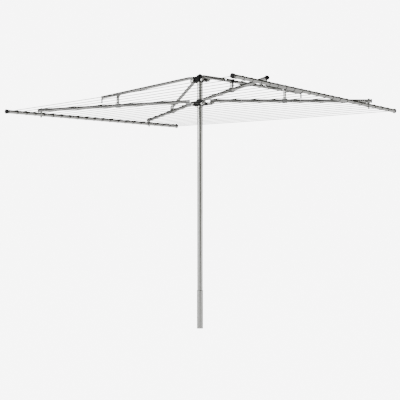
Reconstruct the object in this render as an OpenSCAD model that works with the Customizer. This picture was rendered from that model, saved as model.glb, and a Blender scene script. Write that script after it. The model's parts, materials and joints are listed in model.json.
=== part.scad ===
// Rotary clothesline: a turning post with a folding frame of four arms and two line bars.
// Frame: X along the lines, Y along the bars, Z up. Origin at the foot of the ground tube.

/* [Post] */
// Height of the ground tube above its foot (mm)
ground_tube_height = 306; // [200:2:400]
// Outside diameter of the ground tube (mm)
ground_tube_od = 50; // [46:0.5:60]
// Outside diameter of the turning post (mm)
post_od = 45.5; // [40:0.5:50]
// Height of the top of the post (mm)
post_top = 2046; // [1900:2:2200]

/* [Lower arms] */
// Outside diameter of the lower arms (mm)
lower_arm_od = 28; // [22:0.5:30]
// Reach of the lower arms along the lines (mm)
arm_reach_x = 1213; // [900:1:1400]
// Reach of the lower arms along the bars (mm)
arm_reach_y = 663; // [500:1:800]
// Height of the lower arms at the hub (mm)
arm_hub_z = 1846; // [1700:1:1900]
// Height of the lower arm ends in a level frame (mm)
arm_end_z = 1821; // [1700:1:1900]

/* [Upper arms] */
// Outside diameter of the upper arms (mm)
upper_arm_od = 26; // [20:0.5:27]
// Where the upper arms end, measured along the lines (mm)
upper_reach_x = 700; // [660:1:760]
// How far outside the lower arm each upper arm runs at the brace (mm)
brace_offset = 36; // [34:0.5:45]

/* [Bars and lines] */
// Length of each line bar (mm)
bar_length = 2064; // [1600:2:2400]
// Outside diameter of each line bar (mm)
bar_od = 30; // [24:0.5:32]
// Distance of each bar from the post (mm)
bar_x = 1197; // [900:1:1380]
// Height of the bars at their middle (mm)
bar_z = 1786.5; // [1600:0.5:1900]
// How far the raised end of each bar stands above level (mm)
frame_twist = 26; // [0:1:40]
// Number of lines on each side of the post
lines_per_side = 11; // [4:1:12]
// Distance between neighbouring lines (mm)
line_pitch = 96.8; // [80:0.1:120]
// Diameter of each line (mm)
line_d = 4; // [2.5:0.1:5]

/* [Fold] */
// Distance of the hub pivots from the post axis (mm)
pivot_x = 50; // [46:1:60]
// Height of the upper pivots (mm)
top_pivot_z = 2008; // [1990:1:2020]
// Height of the lower pivots in the open frame (mm)
low_pivot_z = 1816; // [1800:1:1830]
// Distance of the brace pivots from the post axis (mm)
brace_x = 610; // [560:1:640]

/* [Hidden] */
$fn = 48;
arm_slope = arm_reach_y / arm_reach_x;
arm_angle = atan(arm_slope);
brace_z = (top_pivot_z + low_pivot_z) / 2;
low_brace_y = arm_slope * brace_x;
up_brace_y = low_brace_y + brace_offset;
up_start_y = 27;
up_slope = (up_brace_y - up_start_y) / (brace_x - pivot_x);
up_angle = atan(up_slope);
up_start_z = top_pivot_z + 30;
up_fall = (up_start_z - brace_z) / (brace_x - pivot_x);
ear_half = 20;
pin_r = 5;
pin_bore_r = 5.05;
low_tube_x = 110;
up_tube_x = 78;
bar_tilt = frame_twist / (bar_length / 2);
bar_hole_y = arm_slope * bar_x;
line_first = line_pitch / 2;
steel = [0.72, 0.72, 0.69];
bolt_steel = [0.62, 0.63, 0.63];
black = [0.08, 0.08, 0.08];
cord_grey = [0.82, 0.82, 0.80];

// side is -1 for the near arm and 1 for the far arm; the near right arm ends higher
function arm_z(x, side) =
  arm_hub_z + (arm_end_z - side * frame_twist * arm_reach_y / (bar_length / 2) - arm_hub_z) * x / arm_reach_x;
function low_pt(x, side) = [x, side * arm_slope * x, arm_z(x, side)];
function up_pt(x, side) =
  [x, side * (up_start_y + up_slope * (x - pivot_x)), up_start_z - up_fall * (x - pivot_x)];
function line_y(i, side) = side * (line_first + i * line_pitch);

// A straight round rod between two points
module rod(p, q, d) {
  v = q - p;
  len = norm(v);
  translate(p)
    rotate([0, acos(v[2] / len), atan2(v[1], v[0])])
      cylinder(h = len, d = d);
}

// A pin along Y, centred on y
module pin_y(x, y, z, r, len) {
  translate([x, y + len / 2, z])
    rotate([90, 0, 0])
      cylinder(h = len, r = r);
}

module hex_y(x, y, z, across, len) {
  translate([x, y + len / 2, z])
    rotate([90, 0, 0])
      cylinder(h = len, d = across / cos(30), $fn = 6);
}

// The left half is the right half turned half a turn about the post
module left() {
  rotate([0, 0, 180])
    children();
}

// ---------- ground ----------
module ground_tube() {
  color(steel)
    difference() {
      cylinder(h = ground_tube_height, d = ground_tube_od);
      translate([0, 0, -1])
        cylinder(h = ground_tube_height + 2, d = 44);
    }
}

module ground_bushes() {
  color(black) {
    difference() {
      union() {
        translate([0, 0, ground_tube_height])
          cylinder(h = 3, d = ground_tube_od + 1);
        translate([0, 0, ground_tube_height - 40])
          cylinder(h = 40, d = 44);
      }
      translate([0, 0, ground_tube_height - 41])
        cylinder(h = 50, d = 38.1);
    }
    difference() {
      translate([0, 0, 20])
        cylinder(h = 30, d = 44);
      translate([0, 0, 26])
        cylinder(h = 30, d = 38.1);
    }
  }
}

// ---------- turning post ----------
module post_tube() {
  color(steel)
    difference() {
      translate([0, 0, ground_tube_height + 3.4])
        cylinder(h = post_top - ground_tube_height - 3.4, d = post_od);
      translate([0, 0, ground_tube_height])
        cylinder(h = post_top, d = post_od - 4);
    }
}

module post_spigot() {
  color(bolt_steel) {
    translate([0, 0, 27])
      cylinder(h = ground_tube_height - 23, d = 38);
    translate([0, 0, ground_tube_height + 4])
      cylinder(h = 100, d = post_od - 4);
  }
}

module top_hub() {
  color(black)
    difference() {
      union() {
        translate([0, 0, top_pivot_z - 12])
          cylinder(h = 50, r = 30);
        translate([-pivot_x - 8, -ear_half, top_pivot_z + 2])
          cube([2 * pivot_x + 16, 2 * ear_half, 36]);
        for (s = [-1, 1])
          pin_y(s * pivot_x, 0, top_pivot_z, 13, 2 * ear_half);
      }
      translate([0, 0, top_pivot_z - 20])
        cylinder(h = 80, d = post_od);
      for (s = [-1, 1])
        pin_y(s * pivot_x, 0, top_pivot_z, pin_r, 4 * ear_half);
    }
}

module top_cap() {
  color(black)
    rotate_extrude($fn = 64)
      polygon([[0, post_top], [30, post_top], [30, post_top + 4], [24, post_top + 9],
        [12, post_top + 14], [7, post_top + 20], [0, post_top + 22]]);
}

module top_hinge_pins() {
  color(bolt_steel)
    for (s = [-1, 1]) {
      pin_y(s * pivot_x, 0, top_pivot_z, pin_r, 82);
      pin_y(s * pivot_x, 41, top_pivot_z, 8, 3);
      pin_y(s * pivot_x, -41, top_pivot_z, 8, 3);
    }
}

// ---------- upper arms, right side ----------
module upper_arm(side) {
  color(steel)
    difference() {
      rod(up_pt(up_tube_x, side), up_pt(upper_reach_x, side), upper_arm_od);
      rod(up_pt(up_tube_x - 5, side), up_pt(upper_reach_x + 5, side), upper_arm_od - 3);
      pin_y(brace_x, side * up_brace_y, brace_z, 9, 70);
    }
}

module upper_knuckles() {
  color(steel)
    for (side = [-1, 1])
      difference() {
        union() {
          pin_y(pivot_x, side * 27, top_pivot_z, 11, 13);
          translate([pivot_x, side * up_start_y, top_pivot_z - 8])
            rotate([0, 0, side * up_angle])
              translate([0, -5, 0])
                cube([25, 10, 44]);
          rod(up_pt(up_tube_x - 6, side), up_pt(up_tube_x + 40, side), upper_arm_od - 3);
        }
        pin_y(pivot_x, side * 27, top_pivot_z, pin_bore_r, 60);
      }
}

module upper_end_feet() {
  color(black)
    for (side = [-1, 1]) {
      rod(up_pt(upper_reach_x, side), up_pt(upper_reach_x + 6, side), upper_arm_od + 2);
      rod(up_pt(upper_reach_x - 25, side), up_pt(upper_reach_x + 1, side), upper_arm_od - 3);
      translate(up_pt(upper_reach_x + 3, side) - [0, 0, 46])
        cylinder(h = 46, d = 12);
    }
}

module brace_bosses() {
  color(bolt_steel)
    for (side = [-1, 1])
      difference() {
        pin_y(brace_x, side * (up_brace_y - 3), brace_z, 9, 48);
        pin_y(brace_x, side * up_brace_y, brace_z, pin_r, 80);
      }
}

module brace_pins() {
  color(bolt_steel)
    for (side = [-1, 1]) {
      pin_y(brace_x, side * (low_brace_y + 24), brace_z, pin_r, 76);
      hex_y(brace_x, side * (low_brace_y - 16), brace_z, 15, 6);
      hex_y(brace_x, side * (low_brace_y + 60.5), brace_z, 15, 7);
    }
}

// ---------- lower arms, right side ----------
module lower_arm(side) {
  color(steel)
    difference() {
      rod(low_pt(low_tube_x, side), low_pt(arm_reach_x, side), lower_arm_od);
      rod(low_pt(low_tube_x - 5, side), low_pt(arm_reach_x + 5, side), lower_arm_od - 3);
      translate([bar_x, side * bar_hole_y, bar_z - 60])
        cylinder(h = 140, d = 8.2);
    }
}

module lower_knuckles() {
  color(steel)
    for (side = [-1, 1])
      difference() {
        union() {
          pin_y(pivot_x, side * 27, low_pivot_z, 11, 13);
          translate([pivot_x + 3, side * (arm_slope * pivot_x + 1.5), low_pivot_z])
            rotate([0, 0, side * arm_angle]) {
              translate([0, -5, -8])
                cube([44, 10, 20]);
              translate([24, -5, 2])
                cube([37, 10, 38]);
            }
          rod(low_pt(low_tube_x - 8, side), low_pt(low_tube_x + 40, side), lower_arm_od - 3);
        }
        pin_y(pivot_x, side * 27, low_pivot_z, pin_bore_r, 60);
      }
}

module brace_brackets() {
  color(bolt_steel)
    for (side = [-1, 1])
      difference() {
        union() {
          translate(low_pt(brace_x, side))
            rotate([0, 0, side * arm_angle])
              translate([-20, -lower_arm_od / 2 - 2.5, -lower_arm_od / 2 - 3])
                cube([40, lower_arm_od + 5, lower_arm_od + 6]);
          translate([brace_x - 11, side * low_brace_y - 6, arm_z(brace_x, side)])
            cube([22, 12, brace_z - arm_z(brace_x, side)]);
          pin_y(brace_x, side * low_brace_y, brace_z, 11, 12);
        }
        rod(low_pt(brace_x - 60, side), low_pt(brace_x + 60, side), lower_arm_od);
        pin_y(brace_x, side * low_brace_y, brace_z, pin_bore_r, 40);
      }
}

module arm_end_caps() {
  color(black)
    for (side = [-1, 1]) {
      rod(low_pt(arm_reach_x, side), low_pt(arm_reach_x + 7, side), lower_arm_od + 4);
      rod(low_pt(arm_reach_x - 4, side), low_pt(arm_reach_x + 1, side), lower_arm_od - 3);
    }
}

// Places children in the tilted frame of the right bar, Y along the bar
module on_bar() {
  translate([bar_x, 0, bar_z])
    rotate([-atan(bar_tilt), 0, 0])
      children();
}

module line_bar() {
  color(steel)
    difference() {
      on_bar()
        rotate([90, 0, 0])
          difference() {
            cylinder(h = bar_length - 16, d = bar_od, center = true);
            cylinder(h = bar_length, d = bar_od - 3.2, center = true);
          }
      for (side = [-1, 1]) {
        translate([bar_x, side * bar_hole_y, bar_z - 80])
          cylinder(h = 160, d = 8.2);
        for (i = [0:lines_per_side - 1])
          translate([bar_x - 20, line_y(i, side), bar_z - bar_tilt * line_y(i, side)])
            rotate([0, 90, 0])
              cylinder(h = 12, d = 7);
      }
    }
}

module bar_end_caps() {
  color(black)
    for (s = [-1, 1])
      on_bar()
        translate([0, s * (bar_length / 2 - 8), 0])
          rotate([-90 * s, 0, 0]) {
            cylinder(h = 8, d = bar_od + 8);
            translate([0, 0, -2])
              cylinder(h = 2.5, d = bar_od - 3.2);
          }
}

// Height of the bar's middle line under an arm
function bar_top(side) = bar_z - bar_tilt * side * bar_hole_y;

module bar_saddles() {
  color(bolt_steel)
    for (side = [-1, 1])
      difference() {
        translate([bar_x, side * bar_hole_y, bar_top(side)])
          cylinder(h = bar_od / 2 + 20, d = 20);
        rod(low_pt(bar_x - 60, side), low_pt(bar_x + 60, side), lower_arm_od);
        on_bar()
          rotate([90, 0, 0])
            cylinder(h = bar_length, d = bar_od, center = true);
        translate([bar_x, side * bar_hole_y, bar_z - 60])
          cylinder(h = 140, d = 8.2);
      }
}

module bar_bolts() {
  color(bolt_steel)
    for (side = [-1, 1]) {
      translate([bar_x, side * bar_hole_y, bar_top(side) - bar_od / 2 - 13])
        cylinder(h = bar_od + 14 + arm_z(bar_x, side) - bar_top(side), d = 8);
      translate([bar_x, side * bar_hole_y, arm_z(bar_x, side) + lower_arm_od / 2 + 0.2])
        cylinder(h = 5, d = 15);
    }
}

module bar_nuts() {
  color(bolt_steel)
    for (side = [-1, 1])
      difference() {
        union() {
          translate([bar_x, side * bar_hole_y, bar_top(side) - bar_od / 2 - 2.4])
            cylinder(h = 2, d = 18);
          translate([bar_x, side * bar_hole_y, bar_top(side) - bar_od / 2 - 9.4])
            cylinder(h = 7.2, d = 13 / cos(30), $fn = 6);
        }
        translate([bar_x, side * bar_hole_y, bar_top(side) - 40])
          cylinder(h = 60, d = 8);
      }
}

module line_eyelets() {
  color(black)
    for (side = [-1, 1])
      for (i = [0:lines_per_side - 1])
        translate([bar_x, line_y(i, side), bar_z - bar_tilt * line_y(i, side)])
          rotate([0, -90, 0])
            difference() {
              union() {
                translate([0, 0, bar_od / 2 + 0.1])
                  cylinder(h = 2, d = 9.5);
                translate([0, 0, bar_od / 2 - 2.5])
                  cylinder(h = 3, d = 6.8);
              }
              cylinder(h = 30, d = line_d + 0.9);
            }
}

module lines() {
  color(cord_grey)
    for (side = [-1, 1])
      for (i = [0:lines_per_side - 1])
        rod([0.5, line_y(i, side), bar_z - bar_tilt * line_y(i, side) * 0.5 / bar_x],
          [bar_x - 2, line_y(i, side), bar_z - bar_tilt * line_y(i, side) * (bar_x - 2) / bar_x],
          line_d);
}

// ---------- sliding lower hub ----------
module lower_hub() {
  color(black)
    difference() {
      union() {
        translate([0, 0, low_pivot_z - 14])
          cylinder(h = 52, r = 31);
        translate([-pivot_x, -ear_half, low_pivot_z - 12])
          cube([2 * pivot_x, 2 * ear_half, 30]);
        for (s = [-1, 1])
          pin_y(s * pivot_x, 0, low_pivot_z, 12, 2 * ear_half);
        pin_y(0, 31, low_pivot_z + 12, 10, 14);
      }
      translate([0, 0, low_pivot_z - 20])
        cylinder(h = 80, r = 26);
      for (s = [-1, 1])
        pin_y(s * pivot_x, 0, low_pivot_z, pin_r, 4 * ear_half);
      pin_y(0, 34, low_pivot_z + 12, 4.1, 30);
    }
}

module hub_bush() {
  color([0.16, 0.16, 0.16])
    difference() {
      translate([0, 0, low_pivot_z - 15])
        cylinder(h = 54, r = 26);
      translate([0, 0, low_pivot_z - 20])
        cylinder(h = 80, r = post_od / 2 + 0.05);
      pin_y(0, 26, low_pivot_z + 12, 4.1, 12);
    }
}

module lower_hinge_pins() {
  color(bolt_steel)
    for (s = [-1, 1]) {
      pin_y(s * pivot_x, 0, low_pivot_z, pin_r, 82);
      pin_y(s * pivot_x, 41, low_pivot_z, 8, 3);
      pin_y(s * pivot_x, -41, low_pivot_z, 8, 3);
    }
}

module clamp_screw() {
  color(bolt_steel)
    pin_y(0, 23.2 + 17, low_pivot_z + 12, 4, 34);
}

module clamp_knob() {
  color(black)
    difference() {
      pin_y(0, 50, low_pivot_z + 12, 14, 16);
      for (a = [0:60:300])
        translate([15.5 * cos(a), 60, low_pivot_z + 12 + 15.5 * sin(a)])
          rotate([90, 0, 0])
            cylinder(h = 30, r = 4);
      pin_y(0, 44, low_pivot_z + 12, 4, 27);
    }
}

ground_tube();
ground_bushes();
post_tube();
post_spigot();
top_hub();
top_cap();
top_hinge_pins();
upper_arm(-1);  // upper_arm_near_right
upper_arm(1);  // upper_arm_far_right
upper_knuckles();  // upper_knuckles_right
upper_end_feet();  // upper_end_feet_right
brace_bosses();  // brace_bosses_right
brace_pins();  // brace_pins_right
lower_arm(-1);  // lower_arm_near_right
lower_arm(1);  // lower_arm_far_right
lower_knuckles();  // lower_knuckles_right
brace_brackets();  // brace_brackets_right
arm_end_caps();  // arm_end_caps_right
line_bar();  // line_bar_right
bar_end_caps();  // bar_end_caps_right
bar_saddles();  // bar_saddles_right
bar_bolts();  // bar_bolts_right
bar_nuts();  // bar_nuts_right
line_eyelets();  // line_eyelets_right
lines();  // lines_right
left() upper_arm(1);  // upper_arm_near_left
left() upper_arm(-1);  // upper_arm_far_left
left() upper_knuckles();  // upper_knuckles_left
left() upper_end_feet();  // upper_end_feet_left
left() brace_bosses();  // brace_bosses_left
left() brace_pins();  // brace_pins_left
left() lower_arm(1);  // lower_arm_near_left
left() lower_arm(-1);  // lower_arm_far_left
left() lower_knuckles();  // lower_knuckles_left
left() brace_brackets();  // brace_brackets_left
left() arm_end_caps();  // arm_end_caps_left
left() line_bar();  // line_bar_left
left() bar_end_caps();  // bar_end_caps_left
left() bar_saddles();  // bar_saddles_left
left() bar_bolts();  // bar_bolts_left
left() bar_nuts();  // bar_nuts_left
left() line_eyelets();  // line_eyelets_left
left() lines();  // lines_left
lower_hub();
hub_bush();
lower_hinge_pins();
clamp_screw();
clamp_knob();
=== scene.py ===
import json
import math

import bpy
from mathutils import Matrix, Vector


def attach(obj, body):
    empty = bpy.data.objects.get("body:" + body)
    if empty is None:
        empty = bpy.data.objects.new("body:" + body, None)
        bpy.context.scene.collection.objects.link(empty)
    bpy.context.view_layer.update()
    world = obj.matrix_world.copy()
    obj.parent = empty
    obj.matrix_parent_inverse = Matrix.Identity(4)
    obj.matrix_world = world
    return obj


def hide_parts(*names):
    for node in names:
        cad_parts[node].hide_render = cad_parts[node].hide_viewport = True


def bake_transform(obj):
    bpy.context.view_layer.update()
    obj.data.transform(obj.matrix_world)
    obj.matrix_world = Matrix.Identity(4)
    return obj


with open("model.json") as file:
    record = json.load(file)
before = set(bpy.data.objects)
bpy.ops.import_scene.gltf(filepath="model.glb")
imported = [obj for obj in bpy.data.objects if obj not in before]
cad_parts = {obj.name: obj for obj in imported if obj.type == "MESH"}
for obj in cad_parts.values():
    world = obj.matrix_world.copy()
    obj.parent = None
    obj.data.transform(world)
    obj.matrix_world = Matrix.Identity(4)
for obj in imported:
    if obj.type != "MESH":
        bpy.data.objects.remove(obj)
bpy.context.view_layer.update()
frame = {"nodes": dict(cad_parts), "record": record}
nodes = frame["nodes"]
print("frame loaded:", len(nodes), "pieces")

# ---------- camera ----------
cameraSetup = {"azimuth": 41.28, "distance": 9.830, "height": 0.5456, "tiltUp": 2.865,
               "lens": 109.3, "sensor": 36, "seesTo": 200}


def addCamera():
    turn = math.radians(cameraSetup["azimuth"])
    camData = bpy.data.cameras.new("camera")
    camData.lens = cameraSetup["lens"]
    camData.sensor_width = cameraSetup["sensor"]
    camData.clip_end = cameraSetup["seesTo"]
    cam = bpy.data.objects.new("camera", camData)
    reach = cameraSetup["distance"]
    cam.location = (reach * math.sin(turn), -reach * math.cos(turn), cameraSetup["height"])
    cam.rotation_euler = (math.radians(90 + cameraSetup["tiltUp"]), 0, turn)
    bpy.context.scene.collection.objects.link(cam)
    bpy.context.scene.camera = cam


addCamera()
print("camera ready")


# ---------- helpers for node trees ----------
def addNode(tree, kind, **sockets):
    made = tree.nodes.new(kind)
    for name, value in sockets.items():
        made.inputs[name.replace("_", " ")].default_value = value
    return made


def newMaterial(name):
    mat = bpy.data.materials.new(name)
    mat.use_nodes = True
    mat.node_tree.nodes.clear()
    out = mat.node_tree.nodes.new("ShaderNodeOutputMaterial")
    shader = mat.node_tree.nodes.new("ShaderNodeBsdfPrincipled")
    mat.node_tree.links.new(shader.outputs[0], out.inputs["Surface"])
    return mat, mat.node_tree, shader


def objectPattern(tree, scale):
    coords = tree.nodes.new("ShaderNodeTexCoord")
    mapping = tree.nodes.new("ShaderNodeMapping")
    mapping.inputs["Scale"].default_value = scale
    tree.links.new(coords.outputs["Object"], mapping.inputs["Vector"])
    return mapping.outputs["Vector"]


def ramp(tree, source, stops):
    made = tree.nodes.new("ShaderNodeValToRGB")
    bar = made.color_ramp
    while len(bar.elements) < len(stops):
        bar.elements.new(0.5)
    for element, (place, colour) in zip(bar.elements, stops):
        element.position = place
        element.color = (*colour, 1)
    tree.links.new(source, made.inputs["Fac"])
    return made.outputs["Color"]


def grey(v):
    return (v, v, v)


def mixColours(tree, factor, first):
    # The colour sockets of a mix node have no names of their own: 6 and 7 in, 2 out
    mix = tree.nodes.new("ShaderNodeMix")
    mix.data_type = "RGBA"
    tree.links.new(factor, mix.inputs["Factor"])
    tree.links.new(first, mix.inputs[6])
    return mix.inputs[7], mix.outputs[2]


def noise(tree, vector, **sockets):
    made = addNode(tree, "ShaderNodeTexNoise", **sockets)
    tree.links.new(vector, made.inputs["Vector"])
    return made.outputs["Fac"]


def bumpInto(tree, shader, height, strength, distance):
    bump = addNode(tree, "ShaderNodeBump", Strength=strength, Distance=distance)
    tree.links.new(height, bump.inputs["Height"])
    tree.links.new(bump.outputs["Normal"], shader.inputs["Normal"])


# ---------- finishes ----------
steelLook = {"light": (0.60, 0.60, 0.58), "dark": (0.52, 0.52, 0.49), "stain": (0.28, 0.27, 0.23),
             "flake": 60.0, "cloud": 9.0, "grain": 420.0, "stained": 0.55,
             "smoothest": 0.13, "roughest": 0.22, "bump": 0.15, "bumpDepth": 0.0003}


def galvanisedSteel():
    mat, tree, shader = newMaterial("galvanisedSteel")
    shader.inputs["Metallic"].default_value = 1.0
    even = objectPattern(tree, (1, 1, 1))
    flakes = addNode(tree, "ShaderNodeTexVoronoi", Scale=steelLook["flake"])
    tree.links.new(even, flakes.inputs["Vector"])
    cloud = noise(tree, even, Scale=steelLook["cloud"], Detail=5.0, Roughness=0.6)
    fine = noise(tree, even, Scale=steelLook["grain"], Detail=3.0)
    flakeTone = ramp(tree, flakes.outputs["Color"],
                     [(0.0, steelLook["dark"]), (1.0, steelLook["light"])])
    stainMask = ramp(tree, cloud, [(0.56, grey(0)), (0.78, grey(steelLook["stained"]))])
    stain, tone = mixColours(tree, stainMask, flakeTone)
    stain.default_value = (*steelLook["stain"], 1)
    tree.links.new(tone, shader.inputs["Base Color"])
    rough = ramp(tree, cloud, [(0.3, grey(steelLook["smoothest"])),
                               (0.75, grey(steelLook["roughest"]))])
    tree.links.new(rough, shader.inputs["Roughness"])
    bumpInto(tree, shader, fine, steelLook["bump"], steelLook["bumpDepth"])
    return mat


zincLook = {"light": (0.62, 0.63, 0.63), "dark": (0.38, 0.38, 0.35), "metal": 0.9,
            "cloud": 60.0, "scratch": 700.0, "smoothest": 0.28, "roughest": 0.42,
            "bump": 0.2, "bumpDepth": 0.0002}


def zincSteel():
    mat, tree, shader = newMaterial("zincSteel")
    shader.inputs["Metallic"].default_value = zincLook["metal"]
    even = objectPattern(tree, (1, 1, 1))
    cloud = noise(tree, even, Scale=zincLook["cloud"], Detail=6.0, Roughness=0.65)
    tone = ramp(tree, cloud, [(0.3, zincLook["dark"]), (0.7, zincLook["light"])])
    tree.links.new(tone, shader.inputs["Base Color"])
    rough = ramp(tree, cloud, [(0.3, grey(zincLook["roughest"])), (0.7, grey(zincLook["smoothest"]))])
    tree.links.new(rough, shader.inputs["Roughness"])
    scratch = noise(tree, objectPattern(tree, (1, 0.1, 1)), Scale=zincLook["scratch"], Detail=2.0)
    bumpInto(tree, shader, scratch, zincLook["bump"], zincLook["bumpDepth"])
    return mat


plasticLook = {"deep": (0.004, 0.004, 0.005), "rubbed": (0.020, 0.021, 0.019), "shine": 0.18,
               "cloud": 34.0, "grain": 900.0, "smoothest": 0.5, "roughest": 0.68,
               "bump": 0.3, "bumpDepth": 0.0003}


def blackPlastic():
    mat, tree, shader = newMaterial("blackPlastic")
    shader.inputs["Specular IOR Level"].default_value = plasticLook["shine"]
    even = objectPattern(tree, (1, 1, 1))
    cloud = noise(tree, even, Scale=plasticLook["cloud"], Detail=6.0, Roughness=0.7)
    tone = ramp(tree, cloud, [(0.4, plasticLook["deep"]), (0.72, plasticLook["rubbed"])])
    tree.links.new(tone, shader.inputs["Base Color"])
    rough = ramp(tree, cloud, [(0.35, grey(plasticLook["smoothest"])),
                               (0.7, grey(plasticLook["roughest"]))])
    tree.links.new(rough, shader.inputs["Roughness"])
    grain = addNode(tree, "ShaderNodeTexVoronoi", Scale=plasticLook["grain"])
    tree.links.new(even, grain.inputs["Vector"])
    bumpInto(tree, shader, grain.outputs["Distance"], plasticLook["bump"], plasticLook["bumpDepth"])
    return mat


lineLook = {"clean": (0.10, 0.10, 0.097), "aged": (0.055, 0.053, 0.045), "twistPitch": 0.012,
            "shine": 0.3, "cloud": 7.0, "smoothest": 0.38, "roughest": 0.58,
            "bump": 0.4, "bumpDepth": 0.0004}


def lineCover():
    mat, tree, shader = newMaterial("lineCover")
    shader.inputs["Specular IOR Level"].default_value = lineLook["shine"]
    even = objectPattern(tree, (1, 1, 1))
    cloud = noise(tree, even, Scale=lineLook["cloud"], Detail=6.0, Roughness=0.65)
    tone = ramp(tree, cloud, [(0.35, lineLook["clean"]), (0.75, lineLook["aged"])])
    tree.links.new(tone, shader.inputs["Base Color"])
    rough = ramp(tree, cloud, [(0.3, grey(lineLook["smoothest"])), (0.7, grey(lineLook["roughest"]))])
    tree.links.new(rough, shader.inputs["Roughness"])
    twist = addNode(tree, "ShaderNodeTexWave", Scale=1.0, Distortion=0.4)
    turns = 1 / lineLook["twistPitch"]
    tree.links.new(objectPattern(tree, (turns / 3, turns / 3, turns / 3)), twist.inputs["Vector"])
    bumpInto(tree, shader, twist.outputs["Fac"], lineLook["bump"], lineLook["bumpDepth"])
    return mat


finishes = {"galvanised_tube": galvanisedSteel(), "zinc_hardware": zincSteel(),
            "black_plastic": blackPlastic(), "line_cord": lineCover()}
for part in frame["record"]["subparts"]:
    mesh = nodes[part["node"]].data
    mesh.materials.clear()
    mesh.materials.append(finishes[part["material_slot"]])
print("finishes on", len(nodes), "pieces")


# ---------- geometry node helpers ----------
def newTree(name, inputs):
    tree = bpy.data.node_groups.new(name, "GeometryNodeTree")
    tree.interface.new_socket("Geometry", in_out="OUTPUT", socket_type="NodeSocketGeometry")
    tree.interface.new_socket("Geometry", in_out="INPUT", socket_type="NodeSocketGeometry")
    for label, kind in inputs.items():
        tree.interface.new_socket(label, in_out="INPUT", socket_type=kind)
    return tree, tree.nodes.new("NodeGroupInput"), tree.nodes.new("NodeGroupOutput")


def grow(name, tree, settings, material):
    # Runs a tree on an empty mesh and keeps the result as a plain mesh
    holder = bpy.data.objects.new(name + "Holder", bpy.data.meshes.new(name + "Holder"))
    bpy.context.scene.collection.objects.link(holder)
    mod = holder.modifiers.new("shape", "NODES")
    mod.node_group = tree
    for item in tree.interface.items_tree:
        if item.in_out == "INPUT" and item.name in settings:
            mod[item.identifier] = settings[item.name]
    seen = holder.evaluated_get(bpy.context.evaluated_depsgraph_get())
    mesh = bpy.data.meshes.new_from_object(seen)
    bpy.data.objects.remove(holder)
    made = bpy.data.objects.new(name, mesh)
    bpy.context.scene.collection.objects.link(made)
    if not mesh.materials:
        mesh.materials.append(material)
    return made


def mathNode(tree, operation, a, b=None):
    made = tree.nodes.new("ShaderNodeMath")
    made.operation = operation
    for socket, value in zip(made.inputs, (a, b)):
        if value is None:
            continue
        if isinstance(value, (int, float)):
            socket.default_value = value
        else:
            tree.links.new(value, socket)
    return made.outputs[0]


def chain(tree, kind, socket, source, **sockets):
    # Adds a node and feeds one socket of it
    made = addNode(tree, kind, **sockets)
    tree.links.new(source, made.inputs[socket])
    return made.outputs[0]


def vectorOf(tree, **parts):
    made = tree.nodes.new("ShaderNodeCombineXYZ")
    for axis, source in parts.items():
        tree.links.new(source, made.inputs[axis])
    return made.outputs[0]


def times(tree, a, b):
    return mathNode(tree, "MULTIPLY", a, b)


def rowOf(tree, given, start, step):
    row = tree.nodes.new("GeometryNodeMeshLine")
    tree.links.new(given.outputs["Count"], row.inputs["Count"])
    tree.links.new(start, row.inputs["Start Location"])
    tree.links.new(step, row.inputs["Offset"])
    return row.outputs[0]


def spreadOver(tree, points, instance):
    spread = tree.nodes.new("GeometryNodeInstanceOnPoints")
    tree.links.new(points, spread.inputs["Points"])
    tree.links.new(instance, spread.inputs["Instance"])
    return chain(tree, "GeometryNodeRealizeInstances", 0, spread.outputs[0])


def halfRow(tree, given):
    # Half the way from the first line to the last, towards the first
    gaps = mathNode(tree, "SUBTRACT", given.outputs["Count"], 1.0)
    return times(tree, times(tree, gaps, given.outputs["Pitch"]), -0.5)


def tubeAlong(tree, curve, radius, **sockets):
    ring = chain(tree, "GeometryNodeCurvePrimitiveCircle", "Radius", radius, Resolution=10)
    skin = addNode(tree, "GeometryNodeCurveToMesh", **sockets)
    tree.links.new(curve, skin.inputs["Curve"])
    tree.links.new(ring, skin.inputs["Profile Curve"])
    return skin.outputs[0]


def paintOut(tree, given, out, geometry):
    painted = tree.nodes.new("GeometryNodeSetMaterial")
    tree.links.new(geometry, painted.inputs["Geometry"])
    tree.links.new(given.outputs["Material"], painted.inputs["Material"])
    tree.links.new(painted.outputs[0], out.inputs[0])


# ---------- drying lines ----------
# The tilt is the rise of a bar's end over half the bar's length
lineSizes = {"count": 22, "pitch": 0.0968, "radius": 0.0027, "barX": 1.197, "barZ": 1.7865,
             "tilt": 26 / 1032, "bendEnd": 0.24, "slack": 0.003, "endGap": 0.002,
             "middleGap": 0.0002, "steps": 90}


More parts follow.
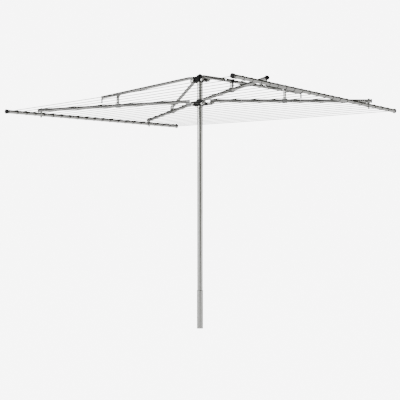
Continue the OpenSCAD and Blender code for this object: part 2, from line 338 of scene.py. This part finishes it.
def lineTree():
    tree, given, out = newTree("dryingLines", {
        "Count": "NodeSocketInt", "Pitch": "NodeSocketFloat", "Radius": "NodeSocketFloat",
        "Reach": "NodeSocketFloat", "Side": "NodeSocketFloat", "Height": "NodeSocketFloat",
        "Tilt": "NodeSocketFloat", "Slack": "NodeSocketFloat", "Material": "NodeSocketMaterial"})
    link = tree.links.new
    row = rowOf(tree, given, vectorOf(tree, Y=halfRow(tree, given)),
                vectorOf(tree, Y=given.outputs["Pitch"]))
    strand = tree.nodes.new("GeometryNodeCurvePrimitiveLine")
    begin = times(tree, given.outputs["Side"], lineSizes["middleGap"])
    end = times(tree, given.outputs["Reach"], given.outputs["Side"])
    link(vectorOf(tree, X=begin), strand.inputs["Start"])
    link(vectorOf(tree, X=end), strand.inputs["End"])
    parted = chain(tree, "GeometryNodeResampleCurve", "Curve", strand.outputs[0],
                   Count=lineSizes["steps"])
    real = spreadOver(tree, row, parted)
    place = tree.nodes.new("GeometryNodeInputPosition")
    apart = tree.nodes.new("ShaderNodeSeparateXYZ")
    link(place.outputs[0], apart.inputs[0])
    along = mathNode(tree, "DIVIDE", apart.outputs["X"], given.outputs["Reach"])
    drop = times(tree, times(tree, apart.outputs["Y"], along), given.outputs["Tilt"])
    sag = times(tree, mathNode(tree, "SUBTRACT", 1.0, times(tree, along, along)),
                given.outputs["Slack"])
    level = mathNode(tree, "SUBTRACT", given.outputs["Height"], drop)
    moved = tree.nodes.new("GeometryNodeSetPosition")
    link(real, moved.inputs["Geometry"])
    link(vectorOf(tree, Z=mathNode(tree, "SUBTRACT", level, sag)), moved.inputs["Offset"])
    skin = tubeAlong(tree, moved.outputs[0], given.outputs["Radius"], Fill_Caps=True)
    smooth = chain(tree, "GeometryNodeSetShadeSmooth", "Geometry", skin)
    paintOut(tree, given, out, chain(tree, "GeometryNodeRealizeInstances", 0, smooth))
    return tree


def addLines():
    tree = lineTree()
    for side, body in ((1.0, "lower_right"), (-1.0, "lower_left")):
        name = "dryingLines" + ("Right" if side > 0 else "Left")
        made = grow(name, tree, {
            "Count": lineSizes["count"], "Pitch": lineSizes["pitch"], "Radius": lineSizes["radius"],
            "Reach": lineSizes["barX"] - lineSizes["endGap"], "Side": side,
            "Height": lineSizes["barZ"], "Tilt": lineSizes["tilt"],
            "Slack": lineSizes["slack"], "Material": finishes["line_cord"]},
            finishes["line_cord"])
        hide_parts("lines_right" if side > 0 else "lines_left")
        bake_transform(made)


addLines()
print("drying lines strung")


# ---------- line loops round the bars ----------
loopSizes = {"ringRadius": 0.0164, "cordRadius": 0.0013, "gap": 0.0052}


def loopTree():
    tree, given, out = newTree("lineLoops", {
        "Count": "NodeSocketInt", "Pitch": "NodeSocketFloat", "Side": "NodeSocketFloat",
        "Bar X": "NodeSocketFloat", "Height": "NodeSocketFloat", "Tilt": "NodeSocketFloat",
        "Ring Radius": "NodeSocketFloat", "Cord Radius": "NodeSocketFloat", "Gap": "NodeSocketFloat",
        "Material": "NodeSocketMaterial"})
    firstY = mathNode(tree, "ADD", halfRow(tree, given), given.outputs["Gap"])
    fall = times(tree, given.outputs["Tilt"], given.outputs["Side"])
    firstZ = mathNode(tree, "SUBTRACT", given.outputs["Height"], times(tree, firstY, fall))
    start = vectorOf(tree, X=times(tree, given.outputs["Bar X"], given.outputs["Side"]),
                     Y=firstY, Z=firstZ)
    stepZ = times(tree, times(tree, given.outputs["Pitch"], fall), -1.0)
    row = rowOf(tree, given, start, vectorOf(tree, Y=given.outputs["Pitch"], Z=stepZ))
    ring = chain(tree, "GeometryNodeCurvePrimitiveCircle", "Radius", given.outputs["Ring Radius"],
                 Resolution=40)
    skin = tubeAlong(tree, ring, given.outputs["Cord Radius"])
    upright = chain(tree, "GeometryNodeTransform", "Geometry", skin,
                    Rotation=(math.radians(90), 0, 0))
    whole = spreadOver(tree, row, upright)
    paintOut(tree, given, out, chain(tree, "GeometryNodeSetShadeSmooth", "Geometry", whole))
    return tree


def addLoops():
    tree = loopTree()
    for side, body in ((1.0, "lower_right"), (-1.0, "lower_left")):
        name = "lineLoops" + ("Right" if side > 0 else "Left")
        made = grow(name, tree, {
            "Count": lineSizes["count"], "Pitch": lineSizes["pitch"], "Side": side,
            "Bar X": lineSizes["barX"], "Height": lineSizes["barZ"], "Tilt": lineSizes["tilt"],
            "Ring Radius": loopSizes["ringRadius"], "Cord Radius": loopSizes["cordRadius"],
            "Gap": loopSizes["gap"], "Material": finishes["line_cord"]},
            finishes["line_cord"])
        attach(made, body)


addLoops()
print("line loops tied")


# ---------- floor and light ----------
# The glow shares say how much of the floor's glow the camera and the reflections see.
# The mirror ring is what the metal reflects, by the direction round the part.
studio = {"floor": (0.66, 0.66, 0.66), "floorHalf": 40, "floorGlow": 8.2, "cameraShare": 0.92,
          "glossyShare": 0.07, "backdrop": 7.5, "ambient": 0.45, "mirror": 2.3,
          "overhead": (0.02, 0.02, 0.015, 1), "aim": (0, 0, 1.3),
          "mirrorRing": [(0.0, grey(0.14)), (0.20, grey(0.14)), (0.31, (0.96, 0.98, 1.0)),
                         (0.42, (0.66, 0.67, 0.70)), (0.48, (0.05, 0.05, 0.03)),
                         (0.59, (0.04, 0.04, 0.03)), (0.66, grey(0.95)), (0.74, grey(0.80)),
                         (0.82, grey(0.16)), (1.0, grey(0.14))]}
lamps = {"keyLamp": {"place": (-4.5, -7.5, 4.0), "power": 330, "size": 3.0},
         "fillLamp": {"place": (6.0, 1.0, 5.0), "power": 15, "size": 5.0}}


def addFloor():
    half = studio["floorHalf"]
    mesh = bpy.data.meshes.new("floor")
    mesh.from_pydata([(-half, -half, 0), (half, -half, 0), (half, half, 0), (-half, half, 0)],
                     [], [(0, 1, 2, 3)])
    floor = bpy.data.objects.new("floor", mesh)
    bpy.context.scene.collection.objects.link(floor)
    mat, tree, shader = newMaterial("floorPaint")
    shader.inputs["Roughness"].default_value = 0.9
    cloud = addNode(tree, "ShaderNodeTexNoise", Scale=1.5, Detail=2.0)
    tone = ramp(tree, cloud.outputs["Fac"], [(0.3, grey(0.6)), (0.7, studio["floor"])])
    tree.links.new(tone, shader.inputs["Base Color"])
    glow = addNode(tree, "ShaderNodeEmission", Strength=studio["floorGlow"])
    ray = tree.nodes.new("ShaderNodeLightPath")
    choose = tree.nodes.new("ShaderNodeMixShader")
    outNode = [n for n in tree.nodes if n.type == "OUTPUT_MATERIAL"][0]
    toCamera = times(tree, ray.outputs["Is Camera Ray"], studio["cameraShare"])
    toGloss = times(tree, ray.outputs["Is Glossy Ray"], studio["glossyShare"])
    tree.links.new(mathNode(tree, "ADD", toCamera, toGloss), choose.inputs["Fac"])
    tree.links.new(shader.outputs[0], choose.inputs[1])
    tree.links.new(glow.outputs[0], choose.inputs[2])
    tree.links.new(choose.outputs[0], outNode.inputs["Surface"])
    mesh.materials.append(mat)


def mirrorTone(tree):
    coords = tree.nodes.new("ShaderNodeTexCoord")
    turn = math.radians(cameraSetup["azimuth"])

    def along(direction):
        dot = tree.nodes.new("ShaderNodeVectorMath")
        dot.operation = "DOT_PRODUCT"
        dot.inputs[1].default_value = direction
        tree.links.new(coords.outputs["Generated"], dot.inputs[0])
        return dot.outputs["Value"]

    sideways = along((math.cos(turn), math.sin(turn), 0))
    frontways = along((math.sin(turn), -math.cos(turn), 0))
    angle = mathNode(tree, "ARCTAN2", sideways, frontways)
    around = mathNode(tree, "ADD", mathNode(tree, "DIVIDE", angle, 2 * math.pi), 0.5)
    upward = ramp(tree, along((0, 0, 1)), [(0.06, grey(0)), (0.30, grey(1))])
    overhead, tone = mixColours(tree, upward, ramp(tree, around, studio["mirrorRing"]))
    overhead.default_value = studio["overhead"]
    return tone


def mixBackgrounds(tree, factor, first, second):
    mixed = tree.nodes.new("ShaderNodeMixShader")
    tree.links.new(factor, mixed.inputs["Fac"])
    tree.links.new(first.outputs[0], mixed.inputs[1])
    tree.links.new(second.outputs[0], mixed.inputs[2])
    return mixed


def addWorld():
    world = bpy.data.worlds.new("studio")
    bpy.context.scene.world = world
    world.use_nodes = True
    tree = world.node_tree
    tree.nodes.clear()
    path = tree.nodes.new("ShaderNodeLightPath")
    plain = addNode(tree, "ShaderNodeBackground", Color=(1, 1, 1, 1), Strength=studio["ambient"])
    seen = addNode(tree, "ShaderNodeBackground", Color=(1, 1, 1, 1), Strength=studio["backdrop"])
    shaped = addNode(tree, "ShaderNodeBackground", Strength=studio["mirror"])
    tree.links.new(mirrorTone(tree), shaped.inputs["Color"])
    lit = mixBackgrounds(tree, path.outputs["Is Glossy Ray"], plain, shaped)
    whole = mixBackgrounds(tree, path.outputs["Is Camera Ray"], lit, seen)
    end = tree.nodes.new("ShaderNodeOutputWorld")
    tree.links.new(whole.outputs[0], end.inputs["Surface"])


def addLamps():
    for name, setup in lamps.items():
        data = bpy.data.lights.new(name, "AREA")
        data.energy = setup["power"]
        data.size = setup["size"]
        lamp = bpy.data.objects.new(name, data)
        lamp.location = setup["place"]
        away = Vector(studio["aim"]) - Vector(setup["place"])
        lamp.rotation_euler = away.to_track_quat("-Z", "Y").to_euler()
        bpy.context.scene.collection.objects.link(lamp)


addFloor()
addWorld()
addLamps()
print("studio ready")
